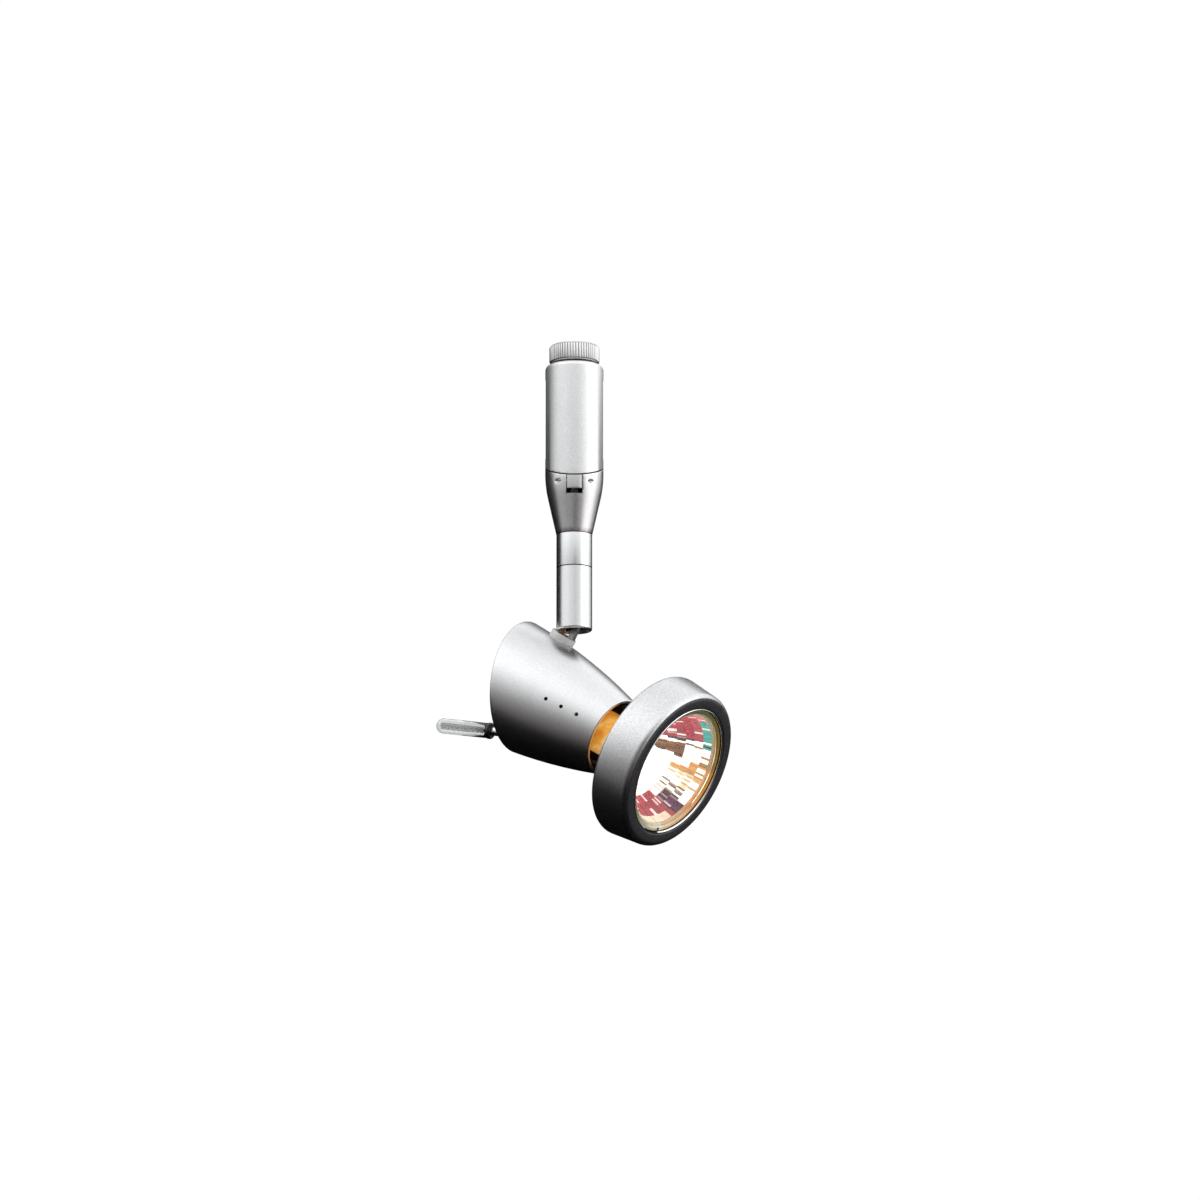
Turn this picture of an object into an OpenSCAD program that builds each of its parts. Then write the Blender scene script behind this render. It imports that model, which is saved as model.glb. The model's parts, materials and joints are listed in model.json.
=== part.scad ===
// Track spotlight: rail adapter, swivelling stem and tilting lamp head.
// Millimetres, +Z up. The origin is on the stem axis, on the seat that the rail rests on.
// Adapter and stem stand on the Z axis. The rail would run along X.

/* [Rail adapter] */
// Outer radius of the adapter
adapter_r = 11.25; // [11:0.05:12]
// Height of the adapter's flat top above the rail seat
adapter_top = 37.1; // [36:0.1:39]
// Thickness of the rail that the slot holds
rail_t = 9; // [8.5:0.1:9]
// Height of the rail that the slot holds
rail_h = 25.2; // [24:0.1:26]
// Height of the bridge's underside above the seat
bridge_z = 31.7; // [31.5:0.1:32]
// Slope of the parting line between front shell and cone, in degrees
seam_slope = 25.2; // [20:0.2:27]

/* [Clamp knob] */
// Radius over the ribs of the knob
knob_r = 9.7; // [9:0.05:10]
// Height of the knob
knob_h = 7.1; // [6:0.1:8]
// Number of ribs round the knob
knob_ribs = 56; // [40:1:60]

/* [Stem] */
// Outer radius of the stem
stem_r = 6.9; // [6.8:0.05:7.2]
// Height of the cone's lower end
cone_z = -30.1; // [-31:0.1:-30]
// Height of the seam between fixed collar and turning tube
seam_z = -43; // [-44:0.1:-42]
// Height of the stem's lower end
stem_z = -67.8; // [-68:0.1:-67.6]
// Height of the tilt pin
pivot_z = -62.3; // [-62.5:0.1:-62.2]

/* [Pose as stored] */
// Turn of the head about the stem, clockwise seen from above
rest_pan = 30; // [0:5:60]
// Slope of the lamp axis below level
rest_tilt = 30; // [0:5:60]

/* [Lamp head] */
// Distance from tilt pin to lamp axis
axis_drop = 33.8; // [33.7:0.1:34]
// Outer radius of the housing's mouth
mouth_r = 15.44; // [15.3:0.02:15.6]
// Distance of the mouth in front of the tilt pin
mouth_x = 40.3; // [40:0.1:41]
// Radius of the arc that the housing's side follows
side_arc = 235; // [225:5:250]
// Wall of the housing
housing_wall = 1.5; // [1.2:0.1:1.6]
// Place of the rear rim's plane on the lamp axis
rear_x = -7.2; // [-8:0.1:-7]
// Lean of the rear rim's plane, in degrees
rear_slant = 19.8; // [18:0.2:21]

/* [Front ring] */
// Largest radius of the front ring
ring_r = 33.1; // [32.5:0.1:34]
// Place of the ring's front face on the lamp axis
ring_front = 73.1; // [73:0.1:73.5]
// Width of the ring
ring_w = 16.3; // [16:0.1:17]
// Radius of the ring's opening
ring_bore = 26; // [25.8:0.1:26.2]

/* [Handle] */
// Radius of the bare rod
rod_r = 1.75; // [1.5:0.05:1.8]
// Length of rod that shows between cover and black ring
rod_out = 10.5; // [9:0.5:12]
// Length of the clear sleeve
sleeve_l = 23; // [18:1:26]

/* [Hidden] */
$fn = 96;
eps = 0.02;

// Rail slot
slot_y0 = -1.5;
slot_y1 = slot_y0 + rail_t + 1;
liner_t = 0.8;
part_gap = 0.3;
shell_y = slot_y0 - part_gap;
shell_wall = 1.6;
boss_r = 5;
seam_front_z = -3.2;
shoulder_r = 1.9;
cone_top_z = -10.9;

// Front shell's hinge
pin_y = -8.9;
hinge_z = -10.6;
pin_r = 0.8;
hinge_pin_half = 5;
tab_half = 2.9;
tab_low = -13.7;
notch_low = -15.7;
notch_half = tab_half + 0.2;
knuckle_r = 1.9;

// Contacts
contact_z = [13, 19];
carrier_screw_z = [7, 22.9];
shell_lead_x = 2.4;

// Clamp
shoe_t = 3.2;
spindle_r = 2.5;
neck_r = 1.5;
knob_gap = 0.8;
knob_z = adapter_top + knob_gap;
run_fit = 0.05;
set_fit = 0.02;

// Stem
tube_wall = 1;
nipple_r = 4;
nipple_bore = 2.6;
spigot_r = 5.5;
spigot_z = -26;
tube_in = stem_r - tube_wall;
clevis_r = tube_in - set_fit;
clevis_top = -54.5;
slot_half = 1.8;
link_half = 1.1;
tilt_pin_r = 1;
relief_r = 7.7;
lead_r = 0.85;
lead_y = 0.95;

// Housing
side_sin = 0.28;
arc_r0 = mouth_r - side_arc * sqrt(1 - side_sin * side_sin);
arc_x0 = mouth_x - side_arc * side_sin;
collar_x = -0.7;
collar_r = 5.1;
collar_t = 2.4;
collar_lean = 6.2;
hole_x = -2.2;
lead_nipple_r = 2.8;
vent_r = 0.75;
vent_x = [17.6, 24.4, 31.2];
vent_v = 2.3;
cover_x = 1.2;
cover_t = 2;
handle_v = -17.6;
handle_lean = 1.2;
handle_ring_r = 3.2;
handle_ring_t = 2;
sleeve_r = 2.95;
core_r = 1.4;
core_l = 20;

// Chassis and lamp
strut_v = 12.3;
strut_t = 1.2;
strut_half = 3.5;
strut_rear = -6;
plate_x = 4;
plate_t = 3;
holder_r = 11;
holder_front = 21.5;
lamp_x = 72;
lamp_rim_r = 25.1;
pin_spacing = 10;
ring_rear = ring_front - ring_w;
ring_inner = 27.5;
shelf_x = 67.5;
shelf_t = 2.2;
shelf_r = 24.5;
strut_foot_v = 26.5;

function unit(v) = v / norm(v);
function arc(c, r, a0, a1, n) = [for (i = [0:n]) let (a = a0 + (a1 - a0) * i / n) c + r * [cos(a), sin(a)]];
function side_r(x) = arc_r0 + sqrt(side_arc * side_arc - (x - arc_x0) * (x - arc_x0));

// Frames: the stem's X is the way the head points, the head's X is the lamp axis.
module in_stem() rotate([0, 0, -rest_pan]) children();
module in_head() translate([0, 0, pivot_z]) rotate([0, rest_tilt, -rest_pan]) children();
module on_axis() in_head() translate([0, 0, -axis_drop]) children();
module on_rear() on_axis() translate([rear_x, 0, 0]) rotate([0, -rear_slant, 0]) children();
module turned() rotate([0, 90, 0]) rotate_extrude() children();
module rod_x(x0, x1, r) translate([x0, 0, 0]) rotate([0, 90, 0]) cylinder(h = x1 - x0, r = r);
module rod_z(z0, z1, r) translate([0, 0, z0]) cylinder(h = z1 - z0, r = r);

// A tube of eight sides along points; ref is a direction that no stretch runs along.
module lead(points, r, ref) {
    last = len(points) - 1;
    rings = [for (i = [0:last])
        let (t = unit(points[min(i + 1, last)] - points[max(i - 1, 0)]),
             u = unit(cross(t, ref)), v = cross(t, u))
        for (k = [0:7]) points[i] + r * (cos(45 * k) * u + sin(45 * k) * v)];
    sides = [for (i = [0:last - 1], k = [0:7])
        [8 * i + k, 8 * i + (k + 1) % 8, 8 * i + 8 + (k + 1) % 8, 8 * i + 8 + k]];
    ends = [[for (k = [7:-1:0]) k], [for (k = [0:7]) 8 * last + k]];
    polyhedron(rings, concat(sides, ends), convexity = 6);
}

// ---- Rail adapter ----

module adapter_outline() {
    cone_slope = atan((adapter_r - stem_r) / (cone_top_z - cone_z));
    blend_l = 5;
    blend_r = blend_l / tan(cone_slope / 2);
    rotate_extrude() union() {
        polygon(concat([[0, cone_z], [stem_r, cone_z]],
            arc([adapter_r - blend_r, cone_top_z + blend_l], blend_r, -cone_slope, 0, 6),
            [[adapter_r, adapter_top - shoulder_r], [adapter_r - shoulder_r, adapter_top],
             [0, adapter_top]]));
        translate([adapter_r - shoulder_r, adapter_top - shoulder_r]) circle(r = shoulder_r);
    }
}

// Everything above the slanted parting plane, lifted by an offset.
module above_seam(lift)
    translate([0, 0, seam_front_z]) rotate([seam_slope, 0, 0])
        translate([-20, -40, lift]) cube([40, 80, 80]);

module before(y) translate([-20, y - 40, -60]) cube([40, 40, 120]);

module cone_cavity() {
    rotate_extrude() polygon([[0, spigot_z], [6.4, spigot_z], [9.2, -12], [9.4, -4], [0, -4]]);
    intersection() {
        rod_z(-12, 3, 9.4);
        before(slot_y0);
    }
}

module adapter_body() color("silver") difference() {
    union() {
        difference() {
            adapter_outline();
            cone_cavity();
        }
        intersection() {
            adapter_outline();
            for (side = [-1, 1])
                translate([side * (notch_half + 2.25) - 2.25, -11.5, hinge_z - 2.4]) cube([4.5, 4.6, 4.8]);
        }
    }
    difference() {
        intersection() {
            above_seam(-part_gap / 2);
            before(slot_y0);
        }
        rod_z(bridge_z, adapter_top, boss_r);
    }
    translate([-20, slot_y0 - eps, 0]) cube([40, slot_y1 - slot_y0 + eps, bridge_z]);
    translate([-notch_half, -12, notch_low]) cube([2 * notch_half, 6.2, 20]);
    translate([0, pin_y, hinge_z]) rod_x(-9, 9, pin_r + set_fit);
    rod_z(bridge_z - 1, adapter_top + 1, 4);
    rod_z(cone_z - 1, spigot_z + 1, spigot_r);
    translate([0, 3.4, -5]) rod_z(0, 3.5, 1);
}

module front_shell() color("silver") difference() {
    union() {
        difference() {
            intersection() {
                adapter_outline();
                above_seam(part_gap / 2);
                before(shell_y);
            }
            rod_z(-20, adapter_top - shell_wall, adapter_r - shell_wall);
            rod_z(bridge_z - 1, adapter_top + 1, boss_r + 0.35);
        }
        intersection() {
            adapter_outline();
            union() {
                translate([-tab_half, -12, tab_low]) cube([2 * tab_half, 3.1 - knuckle_r + 1.2, 9]);
                translate([0, pin_y, hinge_z]) rod_x(-tab_half, tab_half, knuckle_r);
            }
        }
        intersection() {
            adapter_outline();
            for (z = carrier_screw_z)
                translate([-3, -11, z - 2]) cube([6, 4.5, 4]);
        }
    }
    translate([0, pin_y, hinge_z]) rod_x(-9, 9, pin_r + run_fit);
    for (z = carrier_screw_z)
        translate([0, -9.4, z]) rotate([-90, 0, 0]) cylinder(h = 4, r = 1);
}

module hinge_pin() color("dimgray") translate([0, pin_y, hinge_z]) rod_x(-hinge_pin_half, hinge_pin_half, pin_r);

module threaded_bush() color("goldenrod") difference() {
    rod_z(bridge_z + 0.2, adapter_top - 0.1, 4 - set_fit);
    rod_z(bridge_z - 1, adapter_top + 1, spindle_r + run_fit);
}

module rear_liner() color("#202020")
    translate([-6.4, slot_y1 - liner_t, 2.5]) cube([12.8, liner_t - set_fit, 26.5]);

module contact_carrier() color("#262626") difference() {
    translate([-6, -6.3, 4.6]) cube([12, 4.4, 20.2]);
    for (z = contact_z)
        translate([-4.6, -5.3, z - 1.6]) cube([9.2, 5, 3.2]);
    for (z = carrier_screw_z) {
        translate([0, -7, z]) rotate([-90, 0, 0]) cylinder(h = 6, r = 1);
        translate([0, -3.2, z]) rotate([-90, 0, 0]) cylinder(h = 2, r = 2);
    }
    for (side = [-1, 1])
        translate([side * shell_lead_x - 1, -6.6, 4]) cube([2, 2.5, 7.5]);
}

module contact(z) color("#b87333") translate([0, 0, z]) {
    translate([-4.5, -5.2, -0.9]) cube([9, 0.8, 1.8]);
    translate([-4.5, -4.4, -0.9]) cube([0.8, 2.1, 1.8]);
    translate([3.7, -4.4, -0.9]) cube([0.8, 2.1, 1.8]);
    difference() {
        translate([-4.5, -2.3, -0.9]) cube([9, 0.7, 1.8]);
        translate([-0.8, -3, -2]) cube([1.6, 3, 4]);
    }
    for (x = [-2.6, 2.6])
        translate([x, -1.85, -0.9]) cylinder(h = 1.8, r = 0.65);
}

module contact_upper() contact(contact_z[1]);
module contact_lower() contact(contact_z[0]);

module carrier_screws() color("silver") for (z = carrier_screw_z)
    translate([0, 0, z]) rotate([-90, 0, 0]) {
        translate([0, 0, -9.2]) cylinder(h = 6.5, r = 1 - set_fit);
        translate([0, 0, -3.2 + set_fit]) cylinder(h = 1, r = 1.9);
    }

shell_lead_route = [[-5.2, 11], [-5.2, 8], [-5.2, 4], [-5.2, 0], [-5.3, -2.5], [-5.4, -5]];
module shell_leads() color("#c8782c") for (side = [-1, 1])
    lead([for (p = shell_lead_route) [side * shell_lead_x, p[0], p[1]]], lead_r, [1, 0, 0]);

module terminal_block() color("ivory") difference() {
    translate([-4.6, -2.5, -16.5]) cube([9.2, 7, 12.4]);
    for (x = [-2.3, 2.3]) {
        translate([x, -3, -8.5]) rotate([-90, 0, 0]) cylinder(h = 3.6, r = 1.2);
        translate([x, 0.4, -17]) cylinder(h = 5, r = lead_r + set_fit);
        translate([x, -3, -13]) rotate([-90, 0, 0]) cylinder(h = 2.5, r = lead_r + set_fit);
    }
    translate([0, 3.4, -17]) cylinder(h = 14, r = 1);
}

module terminal_screws() color("goldenrod") for (x = [-2.3, 2.3])
    translate([x, -2.9, -8.5]) rotate([-90, 0, 0]) difference() {
        cylinder(h = 3.4, r = 1.2 - set_fit);
        translate([-1.5, -0.2, -1]) cube([3, 0.4, 1.6]);
    }

module block_screw() color("silver") translate([0, 3.4, 0]) {
    rod_z(-17, -1.7, 1 - set_fit);
    rod_z(-17.6, -16.5 - set_fit, 1.8);
}

module supply_leads() color("#c8782c") for (side = [-1, 1]) {
    lead([[side * 2.3, -0.6, -13], [side * 2.3, -2.8, -13], [side * 1.8, -3.9, -12.2],
        [side * 1.3, -4, -10.5]], lead_r, [1, 0, 0]);
    lead([[side * 2.3, 0.4, -12.2], [side * 2.3, 0.4, -17.2], [side * 1.6, 0.2, -19.4],
        [side * 1.1, 0, -21.2]], lead_r, [0, 1, 0]);
}

// ---- Clamp ----

module clamp_knob() color("gainsboro") translate([0, 0, knob_z]) difference() {
    union() {
        rotate_extrude() polygon([[0, 0], [knob_r - 0.6, 0], [knob_r - 0.25, 0.35],
            [knob_r - 0.25, knob_h - 0.5], [knob_r - 0.9, knob_h], [0, knob_h]]);
        translate([0, 0, 0.45]) linear_extrude(knob_h - 1.1)
            polygon([for (i = [0:knob_ribs - 1], k = [0, 1])
                let (a = 360 / knob_ribs * (i + k / 2), r = knob_r - 0.3 * k) r * [cos(a), sin(a)]]);
    }
    translate([0, 0, -1]) cylinder(h = 6.1, r = spindle_r + set_fit);
}

module clamp_spindle() color("silver") {
    rod_z(rail_h + shoe_t + 0.1, knob_z + 5, spindle_r);
    rod_z(rail_h + 0.4, rail_h + shoe_t + 0.2, neck_r);
}

module spindle_clip() color("dimgray") difference() {
    rod_z(rail_h + 0.5, rail_h + 1, 2.6);
    rod_z(rail_h, rail_h + 2, neck_r + set_fit);
    translate([-0.6, 0, rail_h]) cube([1.2, 4, 2]);
}

module clamp_shoe() color("#303030") difference() {
    translate([-8, slot_y0 + 0.2, rail_h]) cube([16, slot_y1 - liner_t - slot_y0 - 0.4, shoe_t]);
    rod_z(rail_h - 1, rail_h + shoe_t + 1, neck_r + run_fit);
    rod_z(rail_h - 1, rail_h + 1.1, 2.9);
}

// ---- Stem ----

module stem_collar() color("silver") difference() {
    union() {
        rod_z(seam_z, cone_z, stem_r);
        rod_z(seam_z, spigot_z, spigot_r - set_fit);
    }
    rod_z(seam_z - 1, spigot_z + 1, nipple_r + run_fit);
}

// The sector behind the tilt pin that the swivel collar sweeps.
module collar_sweep() in_stem() difference() {
    translate([-9, -9, stem_z - 1]) cube([9, 18, pivot_z - stem_z + 1]);
    translate([0, 10, pivot_z]) rotate([90, 0, 0]) cylinder(h = 20, r = relief_r);
}

module stem_tube() color("silver") {
    fillet = 0.7;
    difference() {
        rotate_extrude() difference() {
            union() {
                polygon([[0, stem_z], [stem_r - fillet, stem_z], [stem_r, stem_z + fillet],
                    [stem_r, seam_z - 0.2], [0, seam_z - 0.2]]);
                translate([stem_r - fillet, stem_z + fillet]) circle(r = fillet);
            }
            translate([0, stem_z - 1]) square([tube_in, seam_z - 3.2 - stem_z + 1]);
            translate([0, stem_z]) square([nipple_r + set_fit, 40]);
        }
        collar_sweep();
        in_stem() translate([-10, -slot_half, stem_z - 1]) cube([8, 2 * slot_half, pivot_z - stem_z - 0.2]);
        in_stem() translate([0, 2.5, clevis_top - 2.2]) rotate([-90, 0, 0])
            cylinder(h = 5, r = 0.8 + set_fit);
    }
}

module stem_nipple() color("silver") difference() {
    rod_z(-50.5, -21.8, nipple_r);
    rod_z(-51, -21, nipple_bore);
}

module hex_nut(z0, z1, across, hole) difference() {
    translate([0, 0, z0]) cylinder(h = z1 - z0, r = across / 2 / cos(30), $fn = 6);
    rod_z(z0 - 1, z1 + 1, hole);
}

module nipple_washer() color("goldenrod") difference() {
    rod_z(spigot_z + 0.1, spigot_z + 0.6, 6);
    rod_z(spigot_z - 1, spigot_z + 1, nipple_r + set_fit);
}

module nipple_nut() color("goldenrod") hex_nut(spigot_z + 0.62, spigot_z + 3.6, 10, nipple_r + set_fit);
module tube_nut() color("goldenrod") hex_nut(seam_z - 6.2, seam_z - 3.3, 9.6, nipple_r + set_fit);

module tilt_clevis() color("dimgray") in_stem() difference() {
    rod_z(stem_z + 0.7, clevis_top, clevis_r);
    translate([-7, -slot_half, stem_z - 1]) cube([14, 2 * slot_half, pivot_z + 3.5 - stem_z + 1]);
    translate([-7, -slot_half, stem_z]) cube([4.2, 2 * slot_half, 20]);
    translate([0, 7, pivot_z]) rotate([90, 0, 0]) cylinder(h = 14, r = tilt_pin_r + set_fit);
    translate([0, 2.5, clevis_top - 2.2]) rotate([-90, 0, 0]) cylinder(h = 5, r = 0.8);
}

module clevis_screw() color("dimgray") in_stem()
    translate([0, 2.8, clevis_top - 2.2]) rotate([-90, 0, 0]) cylinder(h = 3.9, r = 0.8 - set_fit);

module tilt_pin() color("silver") in_stem()
    translate([0, 5.3, pivot_z]) rotate([90, 0, 0]) cylinder(h = 10.6, r = tilt_pin_r);

module friction_washers() color("#404040") in_stem() for (y = [-slot_half + eps, link_half + 0.05])
    translate([0, y, pivot_z]) rotate([-90, 0, 0]) difference() {
        cylinder(h = slot_half - link_half - 0.05 - eps, r = 2.3);
        translate([0, 0, -1]) cylinder(h = 3, r = tilt_pin_r + set_fit);
    }

module stem_leads() color("#c8782c") in_stem() for (side = [-1, 1])
    lead([[0, side * 1.1, -21.4], [0, side * 1.1, -30], [0, side * 1.1, -42], [0, side * 1.1, -50.5],
        [-1.2, side, -51.6], [-3, side * lead_y, -52.8], [-4, side * lead_y, -54.4],
        [-4.05, side * lead_y, -57], [-4.05, side * lead_y, -62.4]], lead_r, [0, 1, 0]);

// ---- Tilt link and swivel collar ----

module tilt_link() color("silver") in_head() difference() {
    union() {
        rotate([90, 0, 0]) cylinder(h = 2 * link_half, r = 2.4, center = true);
        rotate([90, 0, 0]) linear_extrude(2 * link_half - 0.2, center = true)
            polygon([[-1.9, -0.7], [1.9, 0.7], [4.3, -2.6], [4.3, -9.8], [1.9, -9.8], [1.9, -4.4]]);
    }
    rotate([90, 0, 0]) cylinder(h = 10, r = tilt_pin_r + 0.03, center = true);
    translate([3.1, 0, 0]) rod_z(-11, -7.4, 0.7);
}

module collar_frame() in_head() translate([collar_x, 0, side_r(collar_x) - axis_drop])
    rotate([0, collar_lean, 0]) children();

module housing_solid(inset) on_axis() turned() intersection() {
    translate([arc_r0, arc_x0]) circle(r = side_arc - inset, $fn = 720);
    translate([0, rear_x - 18]) square([40, mouth_x - rear_x + 18]);
}

module swivel_collar() color("lightgray") difference() {
    collar_frame() translate([0, 0, -1.5]) cylinder(h = collar_t + 1.5, r = collar_r);
    housing_solid(0);
    in_head() translate([1.9 - set_fit, -link_half, -12])
        cube([2.4 + 2 * set_fit, 2 * link_half, 6]);
    in_head() translate([hole_x, 0, 0]) rod_z(-14, -5, lead_nipple_r + set_fit);
}

module lead_nipple() color("silver") in_head() translate([hole_x, 0, 0]) difference() {
    rod_z(-24, -8.6, lead_nipple_r);
    rod_z(-25, -8, 2);
}

module nipple_nuts() color("goldenrod") in_head() translate([hole_x, 0, 0]) {
    hex_nut(-14.6, -12.1, 7, lead_nipple_r + set_fit);
    hex_nut(-23.7, -22.15, 7, lead_nipple_r + set_fit);
}

module link_screw() color("dimgray") in_head() translate([3.1, 0, 0]) {
    rod_z(-12.8, -7.5, 0.7 - set_fit);
    rod_z(-13.6, -12.75, 1.3);
}

// ---- Lamp housing ----

module lamp_housing() color("silver") difference() {
    intersection() {
        housing_solid(0);
        on_rear() translate([0, -40, -60]) cube([90, 80, 120]);
    }
    on_axis() turned() intersection() {
        translate([arc_r0, arc_x0]) circle(r = side_arc - housing_wall, $fn = 720);
        translate([0, rear_x - 20]) square([40, mouth_x - rear_x + 22]);
    }
    on_axis() for (x = vent_x)
        translate([x, 0, vent_v]) rotate([90, 0, 0]) cylinder(h = 60, r = vent_r, center = true);
    in_head() translate([hole_x, 0, 0]) rod_z(-15, -8, lead_nipple_r + run_fit);
    in_head() translate([3.1, 0, 0]) rod_z(-15, -8, 0.7);
}

module rear_cover() color("#8c8c8c") difference() {
    intersection() {
        on_axis() turned() intersection() {
            translate([arc_r0, arc_x0]) circle(r = side_arc - housing_wall - run_fit, $fn = 720);
            translate([0, rear_x - 20]) square([40, 40]);
        }
        on_rear() translate([cover_x, -40, -40]) cube([cover_t, 80, 80]);
    }
    on_rear() {
        for (i = [-3:3])
            translate([0, i * 4 - 0.8, -8 + abs(i)]) cube([9, 1.6, 20 - 2 * abs(i)]);
        for (side = [-1, 1])
            translate([0, side * 16, 0]) rod_x(-1, 9, 1);
    }
    on_handle() rod_x(-1, 9, rod_r + set_fit);
}

module cover_screws() color("silver") on_rear() for (side = [-1, 1]) translate([0, side * 16, 0]) {
    rod_x(cover_x - 0.1, cover_x + 6.5, 1 - set_fit);
    rod_x(cover_x - 1, cover_x - set_fit, 1.9);
}

// ---- Handle ----

// Frame of the handle: it leaves the cover a little below square.
module on_handle() on_rear() translate([0, 0, handle_v]) rotate([0, handle_lean, 0]) children();

// Slim end of the rod that fills the sleeve, or the bore for it with a clearance.
module handle_core(clearance) translate([-rod_out - handle_ring_t, 0, 0]) rotate([0, -90, 0]) {
    translate([0, 0, -1]) cylinder(h = core_l + 1, r = core_r + clearance);
    translate([0, 0, core_l]) sphere(r = core_r + clearance);
}

module handle_rod() color("silver") union() {
    on_handle() rod_x(-rod_out - handle_ring_t, cover_x + cover_t + 2.2, rod_r);
    on_handle() handle_core(0);
}

module handle_nut() color("goldenrod") on_handle() translate([cover_x + cover_t + 0.1, 0, 0])
    rotate([0, 90, 0]) hex_nut(0, 2, 6, rod_r + set_fit);

module handle_ring() color("#181818") on_handle() difference() {
    rod_x(-rod_out - handle_ring_t, -rod_out, handle_ring_r);
    rod_x(-rod_out - 3, 0, rod_r + set_fit);
}

module handle_sleeve() color("lightcyan", 0.5) on_handle() difference() {
    translate([-rod_out - handle_ring_t - set_fit, 0, 0]) rotate([0, -90, 0]) {
        cylinder(h = sleeve_l - sleeve_r, r = sleeve_r);
        translate([0, 0, sleeve_l - sleeve_r]) sphere(r = sleeve_r);
    }
    handle_core(set_fit);
}

// ---- Lamp chassis ----

module strut_shape(rear) {
    half = strut_t / 2;
    polygon([[rear, strut_v - half], [43.7, strut_v - half], [59.4, strut_foot_v - 1.7],
        [60.6, strut_foot_v - half], [64.8, strut_foot_v - half], [64.8, strut_foot_v + half],
        [60.2, strut_foot_v + half], [58.5, strut_foot_v - 0.9], [43.3, strut_v + half],
        [rear, strut_v + half]]);
}

module strut(rear) difference() {
    rotate([90, 0, 0]) translate([0, 0, -strut_half]) linear_extrude(2 * strut_half) strut_shape(rear);
    translate([plate_x + plate_t / 2, 0, 0]) rod_z(strut_v - 2, strut_v + 2, 0.8 + set_fit);
    translate([62.8, 0, 0]) rod_z(strut_foot_v - 2, strut_foot_v + 2, 1.2);
}

module strut_upper() color("#1c1c1c") on_axis() difference() {
    strut(strut_rear);
    translate([hole_x, 0, 0]) rod_z(strut_v - 2, strut_v + 2, lead_nipple_r + set_fit);
}

module strut_lower() color("#1c1c1c") on_axis() mirror([0, 0, 1]) strut(plate_x);

module strut_screws() color("silver") on_axis() for (side = [0, 1]) mirror([0, 0, side])
    translate([62.8, 0, 0]) {
        rod_z(strut_foot_v - 0.8, 30.4, 1.2 - set_fit);
        rod_z(strut_foot_v - 1.6, strut_foot_v - 0.62, 2);
    }

module holder_plate() color("#5a5a5a") on_axis() difference() {
    half = strut_v - strut_t / 2 - set_fit;
    translate([plate_x, -7, -half]) cube([plate_t, 14, 2 * half]);
    rod_x(0, 9, 4);
    for (v = [-8, 8])
        translate([0, 0, v]) rod_x(0, 9, 1);
    for (side = [0, 1]) mirror([0, 0, side])
        translate([plate_x + plate_t / 2, 0, 0]) rod_z(half - 2.4, half + 1, 0.8);
}

module plate_screws() color("silver") on_axis() for (side = [0, 1]) mirror([0, 0, side])
    translate([plate_x + plate_t / 2, 0, 0]) {
        rod_z(strut_v - 2.8, strut_v + 0.7, 0.8 - set_fit);
        rod_z(strut_v + strut_t / 2 + set_fit, strut_v + 1.5, 1.5);
    }

module lampholder() color("ivory") on_axis() difference() {
    rod_x(plate_x + plate_t + set_fit, holder_front, holder_r);
    for (side = [-1, 1]) {
        translate([0, side * pin_spacing / 2, 0]) rod_x(14.6, holder_front + 1, 2.6);
        translate([0, 0, side * 8]) rod_x(2, 11, 1);
    }
}

module holder_screws() color("silver") on_axis() for (v = [-8, 8]) translate([0, 0, v]) {
    rod_x(plate_x - 0.5, 10.5, 1 - set_fit);
    rod_x(plate_x - 1, plate_x - set_fit, 1.9);
}

module head_leads() color("#c8782c") in_head() for (side = [-1, 1])
    lead([for (p = [[-2.2, -8.8], [-2.2, -14], [-2.2, -20], [-2.2, -25], [-3.2, -28.5], [-3, -31.5],
        [-1, -33.4], [1.5, -33.8], [4.1, -33.8]]) [p[0], side * lead_y, p[1]]], lead_r, [0, 1, 0]);

// ---- Front ring and lamp ----

module front_ring() color("#4a4a4c") difference() {
    on_axis() turned() union() {
        rear_fillet = 1.5;
        front_fillet = 2;
        front_r = ring_r - 1.7;
        difference() {
            union() {
                polygon([[shelf_r, ring_rear], [ring_r - rear_fillet, ring_rear],
                    [ring_r, ring_rear + rear_fillet], [front_r, ring_front - front_fillet],
                    [front_r - front_fillet, ring_front], [shelf_r, ring_front]]);
                translate([ring_r - rear_fillet - 0.01, ring_rear + rear_fillet]) circle(r = rear_fillet);
                translate([front_r - front_fillet, ring_front - front_fillet]) circle(r = front_fillet);
            }
            translate([0, shelf_x + shelf_t]) square([ring_bore, 20]);
            translate([0, ring_rear - 1]) square([ring_inner, shelf_x - ring_rear + 1]);
        }
    }
    on_axis() for (side = [0, 1]) mirror([0, 0, side])
        translate([62.8, 0, 0]) rod_z(26, 30.6, 1.2);
}

module retaining_clip() color("gainsboro") on_axis() {
    wire = 0.45;
    mid_r = ring_bore - wire - 0.05;
    gap = 22;
    rotate([0, 90, 0]) translate([0, 0, lamp_x + wire + 0.05]) rotate([0, 0, gap / 2]) {
        rotate_extrude(angle = 360 - gap) translate([mid_r, 0]) circle(r = wire, $fn = 24);
        for (a = [0, 360 - gap])
            rotate([0, 0, a]) translate([mid_r - 2.2, 0, 0]) rotate([0, 90, 0])
                cylinder(h = 2.2, r = wire, $fn = 24);
    }
}

// Half outline of the reflector bowl: distance behind the rim against radius.
function bowl_r(d) = 24.6 * sqrt(1 - pow(d / 32, 1.2));
bowl_d = [for (i = [0:9]) 2.2 + 24.8 * i / 9];

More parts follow.
